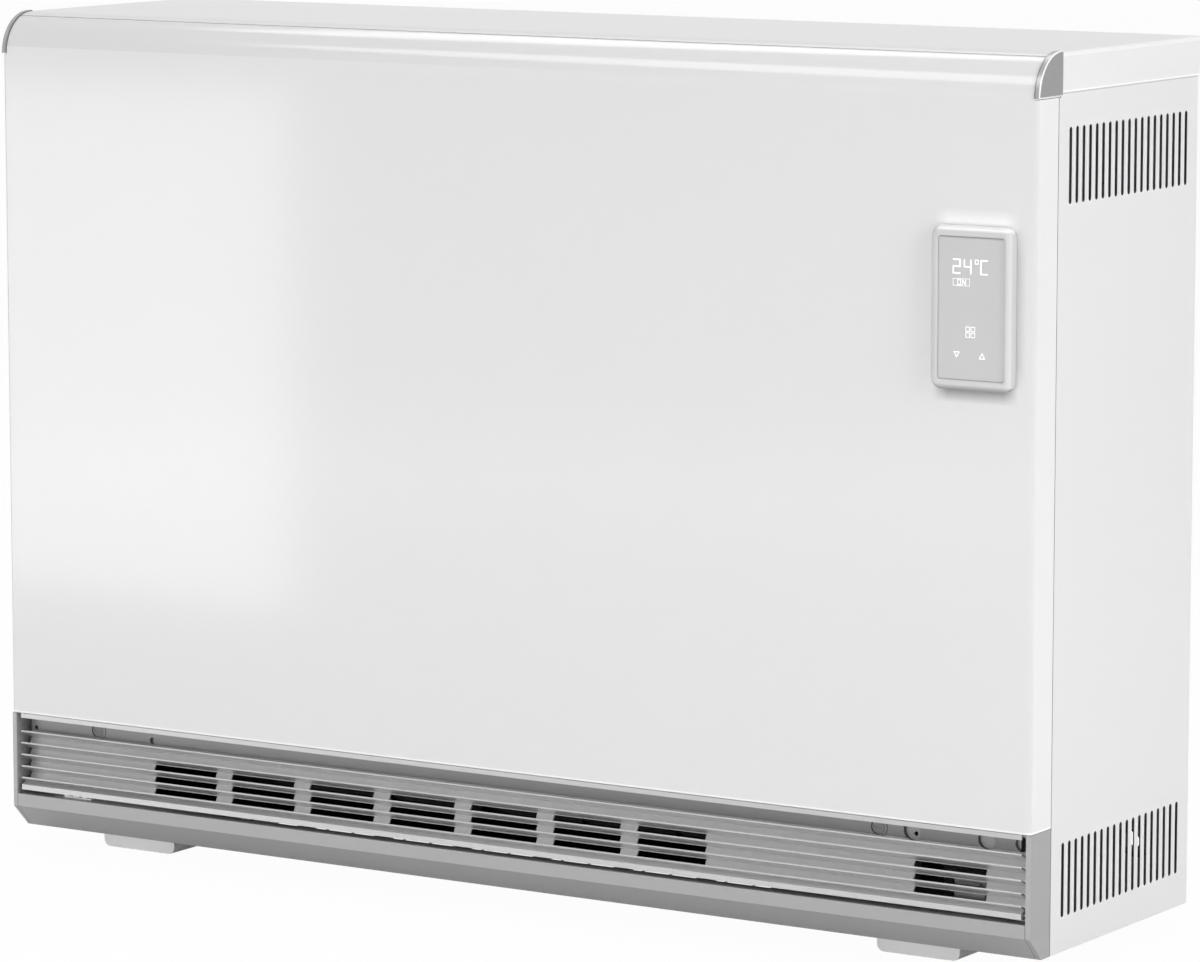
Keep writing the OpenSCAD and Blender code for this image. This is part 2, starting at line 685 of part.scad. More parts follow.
module control_glass() color("lightgray") translate([bezel_x, 0, bezel_z])
    along_y(glass_y, glass_y + glass_t) round_rect(glass_w - seam, glass_h - seam, opening_r - seam / 2);

module control_display() color("dimgray") translate([bezel_x, 0, bezel_z])
    block([-20, glass_y + glass_t, 6], [20, glass_y + glass_t + 2.6, 42]);

board_y = glass_y + glass_t + 2.6;
module control_board() color("darkgreen") translate([bezel_x, 0, bezel_z]) {
    along_y(board_y, board_y + 1.6) round_rect(housing_w - 8, housing_h - 8, 2);
    for (z = [-30, -18]) block([-12, board_y + 1.6, z], [10, board_y + 5, z + 8]);
    block([-6, board_y + 1.6, 20], [6, board_y + 8, 30]);
}

module control_housing() color("whitesmoke") translate([bezel_x, 0, bezel_z]) difference() {
    union() {
        along_y(glass_y + glass_t, front_y + 16) round_rect(housing_w, housing_h, 3.6);
        along_y(front_y + sheet, front_y + sheet + 2) round_rect(housing_w + 10, housing_h + 10, 4);
    }
    along_y(board_y + 1.6, front_y + 14) round_rect(housing_w - 10, housing_h - 10, 2);
    along_y(glass_y, board_y + 1.6) round_rect(housing_w - 7.6, housing_h - 7.6, 2);
    rod_y(front_y, front_y + 20, 0, -housing_h / 2 + 14, 5);
}

// ---------- core and insulation ----------

module core_box(x, y, z) block([x[0], y[0], z[0]], [x[1], y[1], z[1]]);
inner_x = [case_x[0] + liner, case_x[1] - liner];
inner_y = [case_y[0] + liner, case_y[1] - liner];

module core_casing() color("silver") difference() {
    core_box(case_x, case_y, [case_z[0], case_z[1] - liner]);
    core_box(inner_x, inner_y, [case_z[0] - 1, case_z[1] + 1]);
    element_holes(bush_r + element_gap);
    sensor_hole();
}

module core_lid() color("silver") core_box(case_x, case_y, [case_z[1] - liner, case_z[1]]);

// slots that let the air up behind the bricks and down again in front of them
module air_slots(z0, z1) for (y = [core_mid - channel_y, core_mid + channel_y])
    block([core_x[0] + 30, y - channel_w / 2, z0], [core_x[1] - 30, y + channel_w / 2, z1]);

module core_support() color("silver") difference() {
    union() {
        core_box(inner_x, inner_y, [case_z[0], pan_z]);
        for (x = [inner_x[0] + 8, inner_x[1] - 26]) for (y = [inner_y[0] + 24, inner_y[1] - 26])
            block([x, y, under_z + sheet], [x + 18, y + 2, case_z[0]]);
    }
    air_slots(case_z[0] - 1, pan_z + 1);
}

module insulation_base() color("wheat") difference() {
    core_box(inner_x, inner_y, [pan_z, core_z[0]]);
    air_slots(pan_z - 1, core_z[0] + 1);
}
module insulation_front() color("wheat") core_box(inner_x, [inner_y[0], core_y[0]], core_z);
module insulation_back() color("wheat") core_box(inner_x, [core_y[1], inner_y[1]], core_z);
module insulation_left() color("wheat") core_box([inner_x[0], core_x[0]], core_y, core_z);
module insulation_right() color("wheat") difference() {
    core_box([core_x[1], inner_x[1]], core_y, core_z);
    element_holes(bush_r + element_gap);
    sensor_hole();
}
module insulation_top() color("wheat") core_box(inner_x, inner_y, [core_z[1], case_z[1] - liner]);

module element_legs() for (z = element_zs) for (s = [-1, 1]) translate([0, core_mid + s * element_bend, z])
    children();
module element_holes(r) element_legs() rod_x(core_x[1] - 1, bay_x + 1, 0, 0, r);
module sensor_hole() rod_x(core_x[1] - 1, bay_x + 1, core_mid, sensor_z, 3.3);
sensor_z = core_z[0] + brick_h * 3.5;

// the path of the hairpin elements, also cut from the bricks with a clearance
module hairpins(r, x1) for (z = element_zs) {
    for (s = [-1, 1]) rod_x(bend_x, x1, core_mid + s * element_bend, z, r);
    translate([bend_x, core_mid, z]) rotate(90) rotate_extrude(angle = 180) translate([element_bend, 0])
        circle(r);
}
bend_x = core_x[0] + element_bend + 20;

brick_joint = 0.4;

// every second layer of bricks, from the given one up
module brick_layers(first) for (row = [first:2:brick_rows - 1]) for (column = [0:brick_columns - 1]) {
    x = core_x[0] + column * brick_l;
    z = core_z[0] + row * brick_h;
    difference() {
        block([x + brick_joint / 2, core_y[0], z], [x + brick_l - brick_joint / 2, core_y[1], z + brick_h]);
        for (s = [-1, 1]) for (k = [0.27, 0.73])
            block([x + brick_l * k - 38, core_mid + s * channel_y - channel_w / 2, z - 1],
                [x + brick_l * k + 38, core_mid + s * channel_y + channel_w / 2, z + brick_h + 1]);
        // the top layer leads the air across from the rear channels to the front ones
        if (row == brick_rows - 1) for (k = [0.27, 0.73])
            block([x + brick_l * k - 38, core_mid - channel_y, z + brick_h - 14],
                [x + brick_l * k + 38, core_mid + channel_y, z + brick_h + 1]);
        hairpins(element_r + element_gap, core_x[1] + 1);
    }
}
module lower_brick_layers() color("saddlebrown") brick_layers(0);
module upper_brick_layers() color("peru") brick_layers(1);

module heating_elements() color("dimgray") {
    hairpins(element_r, element_end);
    for (z = element_zs) for (s = [-1, 1])
        rod_x(element_end, element_end + 10, core_mid + s * element_bend, z, 1.8);
}

module element_bushes() color("ivory") element_legs() difference() {
    union() {
        rod_x(core_x[1], bay_x + 4, 0, 0, bush_r);
        rod_x(bay_x, bay_x + 2.5, 0, 0, bush_r + 3);
    }
    rod_x(core_x[1] - 1, bay_x + 5, 0, 0, element_r + element_gap);
}

module core_sensor() color("silver") {
    rod_x(core_x[1] + 0.3, bay_x + 6, core_mid, sensor_z, 3);
    rod_x(bay_x, bay_x + 2, core_mid, sensor_z, 6);
}

// ---------- duct and mixing flap ----------

module duct_outline() polygon([[mouth_y, mouth_z[0]], [duct_end_y, duct_end_z[0]],
    [chimney_y[1], chimney_top], [chimney_y[0], chimney_top], [chimney_y[0], chimney_low],
    [mouth_y, mouth_z[1]]]);
chimney_low = mouth_z[1] + 6;
chimney_top = case_z[0] - seam;

module air_duct() color("darkslategray") difference() {
    union() {
        along_x(zone_x[0], zone_x[1]) {
            translate([mouth_y, mouth_z[0]]) square([duct_end_y - mouth_y, duct_t]);
            bent([[mouth_y, mouth_z[1]], [chimney_y[0], chimney_low], [chimney_y[0], chimney_top]], -duct_t);
            translate([chimney_y[1] - duct_t, duct_end_z[1]]) square([duct_t, chimney_top - duct_end_z[1]]);
        }
        for (x = [zone_x[0], zone_x[1] - plate_t]) along_x(x, x + plate_t) duct_outline();
    }
    rod_x(zone_x[0] - 5, zone_x[1] + 5, flap_axis[0], flap_axis[1], flap_shaft_r + 2.02);
}

flap_x = [zone_x[0] + plate_t + 1, zone_x[1] - plate_t - 1];
module mixing_flap() color("silver") translate([0, flap_axis[0], flap_axis[1]]) difference() {
    along_x(flap_x[0], flap_x[1]) {
        circle(flap_hub_r);
        rotate(flap_slope) translate([-flap_w, -0.5]) square([flap_w, 1]);
    }
    rod_x(flap_x[0] - 1, flap_x[1] + 1, 0, 0, flap_shaft_r + 0.02);
}

module flap_shaft() color("silver")
    rod_x(zone_x[0] - 3, zone_x[1] + 26, flap_axis[0], flap_axis[1], flap_shaft_r);

module flap_bushes() color("goldenrod") for (x = [zone_x[0] - 1, zone_x[1] - plate_t]) difference() {
    rod_x(x, x + plate_t + 1, flap_axis[0], flap_axis[1], flap_shaft_r + 2);
    rod_x(x - 1, x + plate_t + 2, flap_axis[0], flap_axis[1], flap_shaft_r + running);
}

// a spiral strip of bimetal around the flap's shaft, its outer end on the duct's end plate
coil_turns = 2.5;
coil_steps = 40;
function coil_r(i) = flap_shaft_r + 0.9 + 7 * i / coil_steps;
function coil_at(i, r) = r * [cos(360 * coil_turns * i / coil_steps), sin(360 * coil_turns * i / coil_steps)];
module bimetal_coil() color("goldenrod") translate([zone_x[1] + 6, flap_axis[0], flap_axis[1]]) {
    along_x(0, 9) polygon(concat([for (i = [0:coil_steps]) coil_at(i, coil_r(i))],
        [for (i = [coil_steps:-1:0]) coil_at(i, coil_r(i) + 0.8)]));
    translate([0, -coil_r(coil_steps) - 1.2, -3]) cube([9, 1.4, 8]);
    translate([-6, -coil_r(coil_steps) - 1.2, -3]) cube([6.1, 1.4, 8]);
}

// ---------- blowers ----------

// the spiral guide wall widens from behind the impeller, over it, to the duct's top
scroll_steps = 16;
function scroll_at(i) =
    let (a = 155 * i / scroll_steps - 60, r = impeller_r + 3 + 6 * i / scroll_steps)
    [blower_y, blower_z] + r * [cos(a), sin(a)];
scroll = [for (i = [0:scroll_steps]) scroll_at(i)];
tongue = [blower_y, blower_z] + (impeller_r + 4) * [cos(215), sin(215)];
housing_y = duct_end_y + seam;
filter_top = under_z + sheet + 4;

module scroll_outline() {
    polygon(concat(scroll, [[housing_y, duct_end_z[1]], [housing_y, duct_end_z[0]], tongue]));
    translate([blower_y, blower_z]) circle(impeller_r + 2.6);
}

// s is -1 for the left blower and 1 for the right one
function housing_x(s) = s < 0
    ? [zone_x[0], zone_mid - housing_gap / 2]
    : [zone_mid + housing_gap / 2, zone_x[1]];

module blower_housing(s) {
    x = housing_x(s);
    difference() {
        union() {
            along_x(x[0], x[1]) {
                bent(concat(scroll, [[housing_y, duct_end_z[1]]]), -duct_t);
                bent([[housing_y, duct_end_z[0]], [tongue[0] - 3, duct_end_z[0]], tongue], duct_t);
            }
            for (e = [x[0], x[1] - plate_t]) along_x(e, e + plate_t) {
                scroll_outline();
                translate([blower_y - 20, filter_top + 0.4]) square([40, blower_z - filter_top]);
            }
            // the outer plates stand on the tray beside the filter
            out = s < 0 ? x[0] : x[1] - plate_t;
            block([out, blower_y - 20, under_z + sheet], [out + plate_t, blower_y + 20, filter_top + 1]);
        }
        rod_x(x[0] - 5, x[1] + 5, blower_y, blower_z, bearing_r + 0.02);
    }
}
module blower_housings() color("silver") for (s = [-1, 1]) blower_housing(s);

// the span of an impeller between its housing's end plates
function impeller_x(s) = housing_x(s) + [plate_t + 2, -plate_t - 2];

// one forward-curved blade: its middle line bends towards the sense of rotation
blade_steps = 4;
function blade_at(i, side) =
    let (k = i / blade_steps, r = impeller_r - blade_depth * (1 - k), a = 14 * k * k)
    r * [cos(a), sin(a)] + side * blade_t / 2 * [-sin(a + 35 * k), cos(a + 35 * k)];
module blade() polygon(concat([for (i = [0:blade_steps]) blade_at(i, -1)],
    [for (i = [blade_steps:-1:0]) blade_at(i, 1)]));

module impeller(s) {
    x = impeller_x(s);
    span = x[1] - x[0];
    translate([0, blower_y, blower_z]) {
        along_x(x[0] + 1, x[1] - 1) for (i = [0:blade_count - 1]) rotate(i * 360 / blade_count) blade();
        for (k = [0, 1]) difference() {
            rod_x(x[0] + k * (span - 1.5), x[0] + k * (span - 1.5) + 1.5, 0, 0, impeller_r + 0.6);
            rod_x(x[0] - 1, x[1] + 1, 0, 0, axle_r + 0.02);
        }
        for (k = [1 / 3, 2 / 3]) difference() {
            rod_x(x[0] + k * span - 0.5, x[0] + k * span + 0.5, 0, 0, impeller_r + 0.6);
            rod_x(x[0], x[1], 0, 0, impeller_r - blade_depth - 1.5);
        }
    }
}
module left_impeller() color("dimgray") impeller(-1);
module right_impeller() color("dimgray") impeller(1);

// the motor sits outside the zone; its shaft carries the impeller to the middle bearing
function shaft_x(s) = s < 0
    ? [zone_x[0] - motor_l + 8, zone_mid - 0.5]
    : [zone_mid + 0.5, zone_x[1] + motor_l - 8];
module impeller_shaft(s) rod_x(shaft_x(s)[0], shaft_x(s)[1], blower_y, blower_z, axle_r);
module left_impeller_shaft() color("silver") impeller_shaft(-1);
module right_impeller_shaft() color("silver") impeller_shaft(1);

module blower_bearings() color("goldenrod")
    for (s = [-1, 1]) for (x = [housing_x(s)[0], housing_x(s)[1] - plate_t]) difference() {
        rod_x(x, x + plate_t, blower_y, blower_z, bearing_r);
        rod_x(x - 1, x + plate_t + 1, blower_y, blower_z, axle_r + running);
    }

// a shaded-pole motor: laminated stack, winding and two end brackets, as on the right
module motor() difference() {
    union() {
        block([4, -24, -30], [motor_l - 4, 24, 22]);
        block([10, -12, -42], [motor_l - 10, 12, -30]);
        rod_x(0, 4, 0, 0, 16);
        rod_x(motor_l - 4, motor_l, 0, 0, 14);
        for (y = [-18, 18]) rod_x(0, motor_l, y, 16, 2.5);
    }
    rod_x(-1, motor_l - 6, 0, 0, axle_r + running);
}
module blower_motors() color("gray") {
    translate([zone_x[1] + seam, blower_y, blower_z]) motor();
    translate([zone_x[0] - seam, blower_y, blower_z]) mirror([1, 0, 0]) motor();
}

// the filter frame over the tray's air intakes, with its net
module lint_filter() color("dimgray") {
    x0 = zone_x[0] + 4;
    x1 = zone_x[1] - 4;
    y0 = blower_y - 30;
    y1 = blower_y + 30;
    z = under_z + sheet;
    difference() {
        block([x0, y0, z], [x1, y1, z + 4]);
        block([x0 + 5, y0 + 5, z - 1], [x1 - 5, y1 - 5, z + 5]);
    }
    step = (x1 - x0) / 21;
    for (i = [1:20]) block([x0 + i * step - 0.4, y0 + 4, z + 1.6], [x0 + i * step + 0.4, y1 - 4, z + 2.4]);
    for (i = [1:4]) block([x0 + 4, y0 + 12 * i - 0.4, z + 1.6], [x1 - 4, y0 + 12 * i + 0.4, z + 2.4]);
}

// ---------- electrical parts ----------

plate_y = [case_y[0] + 20, case_y[1] - 16];
plate_z = [case_z[0] + 12, case_z[1] - 40];
module electrics_plate() color("silver") difference() {
    union() {
        core_box([board_plate_x, board_plate_x + sheet], plate_y, plate_z);
        for (y = [plate_y[0] + 14, plate_y[1] - 14]) for (z = [plate_z[0] + 14, plate_z[1] - 14])
            rod_x(bay_x, board_plate_x, y, z, 5);
    }
    for (z = element_zs) block([board_plate_x - 3, core_mid - element_bend - 16, z - 16],
        [board_plate_x + 3, core_mid + element_bend + 16, z + 16]);
}

face_x = board_plate_x + sheet;
power_z = [element_zs[1] + 26, element_zs[2] - 26];
module power_board() color("darkgreen") translate([face_x, core_mid, power_z[0]]) {
    tall = power_z[1] - power_z[0];
    block([7, -58, 0], [8.6, 58, tall]);
    for (y = [-52, 52]) for (z = [6, tall - 6]) rod_x(0, 7, y, z, 3);
    for (y = [-48, -22, 4]) block([8.6, y, 10], [26, y + 20, 38]);
    for (y = [-40, -16]) rod_x(8.6, 30, y, 62, 9);
    block([8.6, 32, 8], [22, 52, tall - 16]);
}

module terminal_block() color("ivory") translate([face_x, core_mid - 50, plate_z[0] + 10]) difference() {
    block([0, 0, 0], [26, 100, 34]);
    for (i = [0:5]) {
        rod_z(-1, 12, 13, 10 + i * 16, 4);
        rod_z(22, 35, 13, 10 + i * 16, 4);
        rod_x(18, 27, 10 + i * 16, 17, 4.5);
    }
}

button_r = 4;
module safety_limiter() color("darkslategray") translate([face_x, core_mid, limiter_z]) difference() {
    union() {
        block([0, -20, -16], [22, 20, 16]);
        rod_x(22, 27, 0, 0, 8);
    }
    rod_x(18, 28, 0, 0, button_r + running);
}
module limiter_button() color("red") rod_x(face_x + 20.5, face_x + 30, core_mid, limiter_z, button_r);

// the room sensor on its small bracket behind the right-hand group of outlet slots
module room_sensor() color("darkgray") {
    x = slot_xs[slot_groups] + slot_w / 2;
    y = mouth_y + 3;
    block([x, y, under_z + rail_t], [x + slot_w / 2 - 2, y + 1.2, fin_z(3) + 1]);
    block([x, y, under_z + rail_t], [x + slot_w / 2 - 2, y + 16, under_z + rail_t + sheet]);
    rod_x(x + 4, x + 22, y - 0.8, fin_z(2) - 11.5, 1.6);
    block([x + 12, y - 1.4, fin_z(3) - 13], [x + 26, y, fin_z(3) - 8]);
}

base_tray();
back_panel();
left_side_panel();
right_side_panel();
top_cover();
front_panel();
left_end_cap();
right_end_cap();
left_cheek();
right_cheek();
bottom_rail();
rail_clip();
cross_rail();
feet();
foot_screws();
cable_grommet();
outlet_grille();
grille_hinge_pins();
latch_cups();
left_latch();
right_latch();
control_bezel();
control_glass();
control_display();
control_board();
control_housing();
core_casing();
core_lid();
core_support();
insulation_front();
insulation_back();
insulation_left();
insulation_right();
insulation_top();
insulation_base();
lower_brick_layers();
upper_brick_layers();
heating_elements();
element_bushes();
core_sensor();
air_duct();
mixing_flap();
flap_shaft();
flap_bushes();
bimetal_coil();
blower_housings();
left_impeller();
right_impeller();
left_impeller_shaft();
right_impeller_shaft();
blower_bearings();
blower_motors();
lint_filter();
electrics_plate();
power_board();
terminal_block();
safety_limiter();
limiter_button();
room_sensor();
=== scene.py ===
"""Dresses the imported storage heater: finishes, figures on the touch glass, camera and studio."""

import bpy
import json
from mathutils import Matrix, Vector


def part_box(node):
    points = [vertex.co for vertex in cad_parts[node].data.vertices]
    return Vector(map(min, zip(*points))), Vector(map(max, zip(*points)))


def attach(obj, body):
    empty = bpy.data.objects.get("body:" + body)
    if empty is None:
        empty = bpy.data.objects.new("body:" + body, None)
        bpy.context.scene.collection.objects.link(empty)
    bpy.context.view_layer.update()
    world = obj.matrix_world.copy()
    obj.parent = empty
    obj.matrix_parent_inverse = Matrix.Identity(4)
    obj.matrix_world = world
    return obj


bl_info = {
    "name": "Storage heater look",
    "version": (1, 0, 0),
    "blender": (4, 5, 0),
    "location": "3D View > Sidebar > Heater",
    "description": "Finishes, touch glass figures, camera and studio of a storage heater",
    "category": "Object",
}

import json
from math import atan2, radians

import bpy
from mathutils import Vector

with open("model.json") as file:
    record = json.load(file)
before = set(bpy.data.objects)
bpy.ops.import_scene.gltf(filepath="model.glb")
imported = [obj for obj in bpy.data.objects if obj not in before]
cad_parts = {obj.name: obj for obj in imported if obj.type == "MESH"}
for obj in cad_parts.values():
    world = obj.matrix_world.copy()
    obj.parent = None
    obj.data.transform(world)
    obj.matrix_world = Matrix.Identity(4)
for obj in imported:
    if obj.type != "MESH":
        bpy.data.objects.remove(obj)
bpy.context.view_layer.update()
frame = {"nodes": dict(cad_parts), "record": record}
NODES = frame["nodes"]
MM = 0.001

# lower and upper corners of the nodes that the finishes follow; the casing is the same on its left
PANEL_LOW, PANEL_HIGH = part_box("front_panel")
COVER_LOW, COVER_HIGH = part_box("top_cover")
CAP_LOW, CAP_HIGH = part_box("right_end_cap")
CHEEK_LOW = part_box("right_cheek")[0]
SIDE_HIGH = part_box("right_side_panel")[1]
GRILLE_LOW, GRILLE_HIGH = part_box("outlet_grille")
RAIL_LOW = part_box("cross_rail")[0]
BEZEL_LOW, BEZEL_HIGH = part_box("control_bezel")
GLASS_LOW, GLASS_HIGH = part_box("control_glass")

SLOPE_TOP = CHEEK_LOW.z + 18.1 * MM  # just above the slope along the plinth's bottom
NOSE_DEPTH = 35 * MM  # how far the cover's curved front reaches back
CURVE_H = 26 * MM  # height of that curve below the cover's top
LID_T = 3.5 * MM  # height of the cover's flat top with its rounded edge
RECESS_H = 15.6 * MM  # height of the recess along the grille's top
STRIP_H = 4 * MM  # height of the strip in front of the recess
STRIP_DEPTH = 2.3 * MM  # how far that strip reaches back
LIP_H = 4.2 * MM  # height of the lip along the grille's bottom
BLOWER_DEPTH = 140 * MM  # how far the blowers and the duct reach behind the grille's front


# ---------- shader graphs ----------


class Wire:
    """One output socket, on which Python's operators add Math nodes."""

    def __init__(self, graph, socket):
        self.graph = graph
        self.socket = socket

    def _math(self, operation, *values):
        return self.graph.add("ShaderNodeMath", {"operation": operation}, *values)

    def __add__(self, other):
        return self._math("ADD", self, other)

    def __radd__(self, other):
        return self._math("ADD", other, self)

    def __sub__(self, other):
        return self._math("SUBTRACT", self, other)

    def __rsub__(self, other):
        return self._math("SUBTRACT", other, self)

    def __mul__(self, other):
        return self._math("MULTIPLY", self, other)

    def __rmul__(self, other):
        return self._math("MULTIPLY", other, self)

    def __gt__(self, other):
        return self._math("GREATER_THAN", self, other)

    def __lt__(self, other):
        return self._math("LESS_THAN", self, other)

    def __abs__(self):
        return self._math("ABSOLUTE", self)


class Graph:
    """The nodes of a material or of the world, with the shader that was there first."""

    def __init__(self, owner, shader="Principled BSDF"):
        owner.use_nodes = True
        self.owner = owner
        self.tree = owner.node_tree
        self.shader = self.tree.nodes[shader]

    def plug(self, socket, value):
        if isinstance(value, Wire):
            self.tree.links.new(value.socket, socket)
        else:
            socket.default_value = value

    def add(self, kind, settings=None, *values, output=0, **named):
        """A node with its settings, then its sockets' values or links, in order or by name."""
        node = self.tree.nodes.new(kind)
        for key, value in (settings or {}).items():
            setattr(node, key, value)
        for socket, value in zip(node.inputs, values):
            self.plug(socket, value)
        for key, value in named.items():
            self.plug(node.inputs[key.replace("_", " ")], value)
        return Wire(self, node.outputs[output])

    def finish(self, **sockets):
        """Fills the shader's sockets and gives back the material or world."""
        for key, value in sockets.items():
            self.plug(self.shader.inputs[key.replace("_", " ")], value)
        return self.owner

    def place(self, scale=(1, 1, 1)):
        """Object coordinates, stretched."""
        where = self.add("ShaderNodeTexCoord", output="Object")
        return self.add("ShaderNodeMapping", None, Vector=where, Scale=scale)

    def coordinates(self):
        """The place on the heater as three values."""
        node = self.tree.nodes.new("ShaderNodeSeparateXYZ")
        self.plug(node.inputs["Vector"], self.place())
        return [Wire(self, node.outputs[axis]) for axis in "XYZ"]

    def ramp(self, value, start, end, at_start=1, at_end=0):
        """at_start up to start, then going over to at_end at end."""
        return self.add("ShaderNodeMapRange", None, value, start, end, at_start, at_end)

    def noise(self, scale, detail=2, stretch=(1, 1, 1)):
        return self.add(
            "ShaderNodeTexNoise", None, output="Fac", Vector=self.place(stretch), Scale=scale, Detail=detail
        )

    def mix(self, factor, a, b):
        return self.add("ShaderNodeMix", {"data_type": "RGBA"}, output="Result", Factor=factor, A=a, B=b)

    def shade(self, base, colour, *tones):
        """base, with colour times a factor laid over it wherever that factor's mask is 1."""
        for mask, factor in tones:
            base = self.mix(mask, base, tint(colour, factor))
        return base

    def bump(self, height, strength, distance, normal=None):
        named = {"Strength": strength, "Distance": distance, "Height": height}
        if normal:
            named["Normal"] = normal
        return self.add("ShaderNodeBump", None, **named)

    def soft_edges(self, radius):
        return self.add("ShaderNodeBevel", {"samples": 4}, radius)

    def enamel_peel(self, normal=None):
        """The faint waves of stove enamel."""
        return self.bump(self.noise(420, 1), 0.03, 0.4 * MM, normal)

    def paint_grain(self):
        """The fine grain of sprayed paint, over slightly rounded edges."""
        return self.bump(self.noise(900), 0.04, 0.3 * MM, self.soft_edges(0.4 * MM))

    def mould_grain(self):
        """The fine spark-eroded grain of moulded plastic."""
        return self.bump(self.noise(1500), 0.05, 0.2 * MM)


def new_finish(name):
    return Graph(bpy.data.materials.new(name))


def band(value, low, high):
    """1 between low and high, 0 elsewhere."""
    return (value > low) * (value < high)


def grey(level):
    return (level, level, level, 1)


def tint(colour, factor):
    return (*[c * factor for c in colour[:3]], 1)


# ---------- finishes ----------


def light_and_shade_round_the_unit(g, x, z):
    """Soft masks on the front panel for painted light and shade: a painted shadow below the control unit,
    painted light above it and painted shade to its right.
    """
    middle = (BEZEL_LOW + BEZEL_HIGH) / 2
    half = BEZEL_HIGH - middle
    across = g.ramp(abs(x - middle.x), half.x - 10 * MM, half.x + 2 * MM)
    upright = g.ramp(abs(z - middle.z), half.z - 20 * MM, half.z)
    below = g.ramp(z, BEZEL_LOW.z - 1 * MM, BEZEL_LOW.z - 10 * MM) * (z < middle.z) * across
    above = g.ramp(z, BEZEL_HIGH.z + 3 * MM, BEZEL_HIGH.z + 12 * MM) * (z > middle.z) * across
    shade_beside = g.ramp(x, BEZEL_HIGH.x, BEZEL_HIGH.x + 8 * MM) * (x > middle.x) * upright
    return below, above, shade_beside


def enamel(colour):
    """Smooth stove enamel with a matter lid, painted highlights on its lower edges and bend, painted shade
    on the folded sides and the curve's left, and a painted shadow and painted light round the control unit.
    """
    g = new_finish("white_enamel")
    x, y, z = g.coordinates()
    # painted highlights: the front panel's bottom edge and the skirts' lower edges go nearly white
    panel_edge_highlight = band(z, PANEL_LOW.z + 0.3 * MM, PANEL_LOW.z + 1.6 * MM)
    skirt_edge_highlight = (abs(x) > PANEL_HIGH.x + 0.4 * MM) * (z < COVER_LOW.z + 1.3 * MM)
    # painted shade: the front panel's folded side edges are darkened
    fold_shade = (abs(x) > PANEL_HIGH.x - 1.8 * MM) * (y < PANEL_LOW.y + 2.2 * MM) * (z < COVER_LOW.z)
    # painted shadow below the control unit, painted light above it and painted shade to its right
    below, above, shade_beside = light_and_shade_round_the_unit(g, x, z)
    nose = y < PANEL_LOW.y + NOSE_DEPTH
    curve = band(z, COVER_HIGH.z - CURVE_H, COVER_HIGH.z - LID_T) * nose
    # painted shade on the left part of the cover's curved front
    curve_left_shade = curve * g.ramp(x, PANEL_LOW.x, PANEL_HIGH.x / 2)
    bend = band(z, COVER_HIGH.z - 3.1 * MM, COVER_HIGH.z - 1.4 * MM) * nose
    # painted highlight along the lid's front bend, stronger to the right
    bend_right_highlight = bend * g.ramp(x, PANEL_HIGH.x, PANEL_LOW.x)
    lid = z > COVER_HIGH.z - LID_T
    face = g.shade((*colour, 1), colour, (fold_shade, 0.88), (below, 0.40), (above, 1.24), (shade_beside, 0.82))
    face = g.shade(face, colour, (curve_left_shade, 0.92), (bend_right_highlight, 1.15))
    return g.finish(
        Base_Color=g.mix(panel_edge_highlight + skirt_edge_highlight, face, grey(0.97)),
        Roughness=0.5,
        Specular_IOR_Level=0.1,
        Coat_Weight=0.9 - lid * 0.8,
        Coat_Roughness=0.12,
        Normal=g.enamel_peel(g.soft_edges(0.5 * MM)),
    )


def vented_enamel(colour):
    """The side panels' enamel, a little darker, with painted shade inside and on the edges of the slots and
    a painted shadow under the skirt.
    """
    g = new_finish("vented_enamel")
    x, _, z = g.coordinates()
    # painted shade: everything inside the panel's outer face, slot edges included, goes very dark
    outside = abs(x) > SIDE_HIGH.x - 0.3 * MM
    # painted shadow in a narrow band under the cover's skirt
    skirt_shade = z > COVER_LOW.z - 1.2 * MM
    face = g.shade(tint(colour, 0.93), colour, (skirt_shade, 0.70))
    return g.finish(
        Base_Color=g.mix(outside, grey(0.05), face), Roughness=0.4, Coat_Weight=0.3, Normal=g.enamel_peel()
    )


def cap_paint(colour):
    """Silver paint with painted highlights along the cap's curved edge and its bottom, and darker along its
    inner side.
    """
    g = new_finish("silver_paint")
    x, _, z = g.coordinates()
    # painted highlights: a nearly white line along the curved edge and along the bottom
    curve = band(abs(x), CAP_HIGH.x - 0.9 * MM, CAP_HIGH.x - 0.04 * MM)
    bottom = z < CAP_LOW.z + 0.6 * MM
    inner = abs(x) < CAP_LOW.x + 1 * MM
    face = g.shade((*colour, 1), colour, (inner, 0.60))
    return g.finish(
        Base_Color=g.mix(curve + bottom, face, grey(0.9)),
        Metallic=0.35,
        Roughness=0.3,
        Normal=g.paint_grain(),
    )


def plinth_paint(colour):
    """Satin grey, darker on the cheeks, with painted shade on the slope along the bottom and painted light
    on the cheeks' front ends.
    """
    g = new_finish("grey_paint")
    x, y, z = g.coordinates()
    cheek = abs(x) > CHEEK_LOW.x - 0.2 * MM
    # painted light: the cheeks' front ends lighter
    end = cheek * (y < CHEEK_LOW.y + 0.3 * MM)
    # painted shade: the downward-facing chamfer at the bottom darker
    slope = z < SLOPE_TOP
    return g.finish(
        Base_Color=g.shade((*colour, 1), colour, (cheek, 0.86), (end, 1.04), (slope, 0.89)),
        Metallic=0.1,
        Roughness=0.4,
        Normal=g.paint_grain(),
    )


